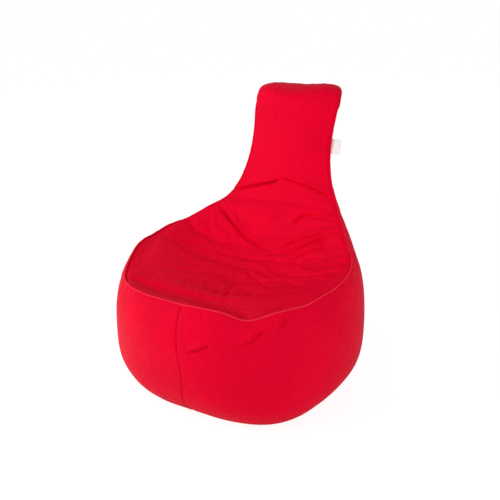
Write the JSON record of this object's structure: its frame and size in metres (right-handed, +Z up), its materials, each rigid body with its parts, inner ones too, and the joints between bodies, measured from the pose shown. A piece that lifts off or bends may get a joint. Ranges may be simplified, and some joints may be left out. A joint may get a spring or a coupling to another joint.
{
  "type": "bean bag chair",
  "caption": "High-backed bean bag chair: a filled drum with a hollowed seat that runs up into a narrow headrest, in a sewn fabric cover closed by a zip across its base.",
  "frame": {"origin": "on the floor under the middle of the drum", "axes": "+Z up, front of the seat towards -Y, +X to the right seen from the front"},
  "size_m": [0.832, 0.8676, 0.9635],
  "materials": {
    "cover_fabric": "woven polyester, slight sheen",
    "base_fabric": "woven polyester, slight sheen",
    "liner_fabric": "plain white lining",
    "bead_fill": "loose foam beads",
    "zip_tape": "woven tape",
    "zip_teeth": "moulded plastic",
    "zip_metal": "enamelled",
    "label_ribbon": "satin ribbon, blank"
  },
  "bodies": {
    "seat": {"front_panel": "cover_fabric", "back_panel": "cover_fabric", "left_side_band": "cover_fabric", "right_side_band": "cover_fabric", "base_panel_front": "base_fabric", "base_panel_rear": "base_fabric", "inner_liner": "liner_fabric", "seat_bead_fill": "bead_fill", "zip_tape_front": "zip_tape", "zip_tape_rear": "zip_tape", "zip_teeth_front": "zip_teeth", "zip_teeth_rear": "zip_teeth", "zip_top_stops": "zip_teeth", "zip_bottom_stop": "zip_teeth"},
    "back": {"back_bead_fill": "bead_fill"},
    "label": {"side_label": "label_ribbon"},
    "slider": {"zip_slider": "zip_metal"},
    "pull": {"zip_pull": "zip_metal"}
  },
  "joints": [
    {"name": "back_lean", "type": "hinge", "parent": "seat", "child": "back", "pos_m": [0, 0.306, 0.664], "axis": [1, 0, 0], "range_deg": [-20, 20], "deforming": ["front_panel", "back_panel", "left_side_band", "right_side_band", "inner_liner"]},
    {"name": "label_flap", "type": "hinge", "parent": "back", "child": "label", "pos_m": [0.1518, 0.297, 0.7748], "axis": [0, 0.2441, 0.9697], "range_deg": [-50, 50], "stiffness_Nm_per_rad": 0.002},
    {"name": "zip_slide", "type": "slide", "parent": "seat", "child": "slider", "axis": [1, 0, 0], "range_m": [-0.385, 0], "deforming": ["zip_teeth_front", "zip_teeth_rear"]},
    {"name": "pull_swing", "type": "hinge", "parent": "slider", "child": "pull", "pos_m": [0.1848, 0.11, 0.0071], "axis": [0, -1, 0], "range_deg": [-10, 140]}
  ]
}
